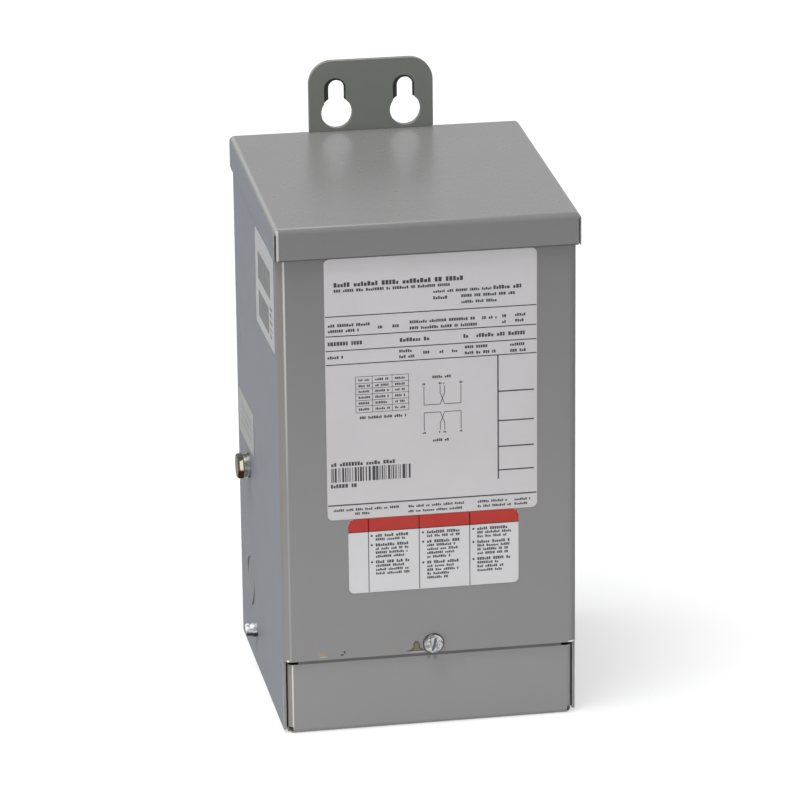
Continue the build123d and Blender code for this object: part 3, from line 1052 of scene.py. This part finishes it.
def make_camera():
    azimuth, elevation, roll = (
        math.radians(a) for a in (CAMERA_AZIMUTH, CAMERA_ELEVATION, CAMERA_ROLL)
    )
    forward = Vector((
        math.sin(azimuth) * math.cos(elevation),
        math.cos(azimuth) * math.cos(elevation),
        -math.sin(elevation),
    ))
    level = Vector((math.cos(azimuth), -math.sin(azimuth), 0.0))
    above = level.cross(forward)
    right = math.cos(roll) * level + math.sin(roll) * above
    up = math.cos(roll) * above - math.sin(roll) * level
    data = bpy.data.cameras.new("camera")
    data.sensor_width = SENSOR_WIDTH
    data.sensor_fit = "HORIZONTAL"
    data.lens = LENS
    data.clip_start = NEAREST_SEEN
    data.clip_end = FARTHEST_SEEN
    camera = bpy.data.objects.new("camera", data)
    place = CAMERA_TARGET - forward * CAMERA_DISTANCE
    rows = [(right[i], up[i], -forward[i], place[i]) for i in range(3)]
    camera.matrix_world = Matrix((*rows, (0.0, 0.0, 0.0, 1.0)))
    bpy.context.scene.collection.objects.link(camera)
    bpy.context.scene.camera = camera


def seen_directly(tree):
    """1 for camera, glossy and transmission rays, 0 for the rays that light things."""
    path = tree.nodes.new("ShaderNodeLightPath")
    total = path.outputs["Is Camera Ray"]
    for name in ("Is Glossy Ray", "Is Transmission Ray"):
        add = tree.nodes.new("ShaderNodeMath")
        add.operation = "MAXIMUM"
        tree.links.new(total, add.inputs[0])
        tree.links.new(path.outputs[name], add.inputs[1])
        total = add.outputs[0]
    return total


def make_world():
    world = bpy.data.worlds.new("studio")
    world.use_nodes = True
    tree = world.node_tree
    background = tree.nodes["Background"]
    background.inputs["Color"].default_value = WHITE
    level = tree.nodes.new("ShaderNodeMapRange")
    tree.links.new(seen_directly(tree), level.inputs["Value"])
    level.inputs["To Min"].default_value = WORLD_LEVEL
    level.inputs["To Max"].default_value = 1.0
    tree.links.new(level.outputs["Result"], background.inputs["Strength"])
    bpy.context.scene.world = world


def make_sun(name, power, angle, direction, colour=WHITE[:3]):
    data = bpy.data.lights.new(name, "SUN")
    data.energy = power
    data.angle = math.radians(angle)
    data.color = colour
    lamp = bpy.data.objects.new(name, data)
    lamp.rotation_euler = Vector(direction).to_track_quat("-Z", "Y").to_euler()
    bpy.context.scene.collection.objects.link(lamp)


def make_fill():
    """Soft strip near the floor, which lights the front most at its bottom."""
    data = bpy.data.lights.new("fill", "AREA")
    data.shape = "RECTANGLE"
    data.size, data.size_y = FILL_SIZE
    data.energy = FILL_POWER
    lamp = bpy.data.objects.new("fill", data)
    lamp.location = FILL_PLACE
    lamp.rotation_euler = (math.radians(FILL_TILT), 0, 0)
    bpy.context.scene.collection.objects.link(lamp)


def make_floor():
    half = FLOOR_HALF
    mesh = bpy.data.meshes.new("floor")
    corners = [(-half, -half, 0), (half, -half, 0), (half, half, 0), (-half, half, 0)]
    mesh.from_pydata(corners, [], [(0, 1, 2, 3)])
    floor = bpy.data.objects.new("floor", mesh)
    bpy.context.scene.collection.objects.link(floor)
    material = bpy.data.materials.new("floor")
    material.use_nodes = True
    tree = material.node_tree
    shader = tree.nodes["Principled BSDF"]
    shader.inputs["Base Color"].default_value = srgb(FLOOR_LEVEL, FLOOR_LEVEL, FLOOR_LEVEL)
    shader.inputs["Roughness"].default_value = FLOOR_ROUGHNESS
    shader.inputs["Specular IOR Level"].default_value = 0.0
    shader.inputs["Emission Color"].default_value = WHITE
    lift = tree.nodes.new("ShaderNodeMath")
    lift.operation = "MULTIPLY"
    tree.links.new(seen_directly(tree), lift.inputs[0])
    lift.inputs[1].default_value = FLOOR_LIFT
    tree.links.new(lift.outputs[0], shader.inputs["Emission Strength"])
    mesh.materials.append(material)


dress_sheets()
dress_fasteners()
dress_labels()
dress(["potted_core"], resin("sand_resin"))
print_labels()
make_camera()
make_world()
make_sun("key", KEY_POWER, KEY_ANGLE, KEY_DIRECTION)
make_sun("side", SIDE_POWER, SIDE_ANGLE, SIDE_DIRECTION, SIDE_COLOUR)
make_fill()
make_floor()
bpy.context.scene.view_settings.view_transform = "Standard"
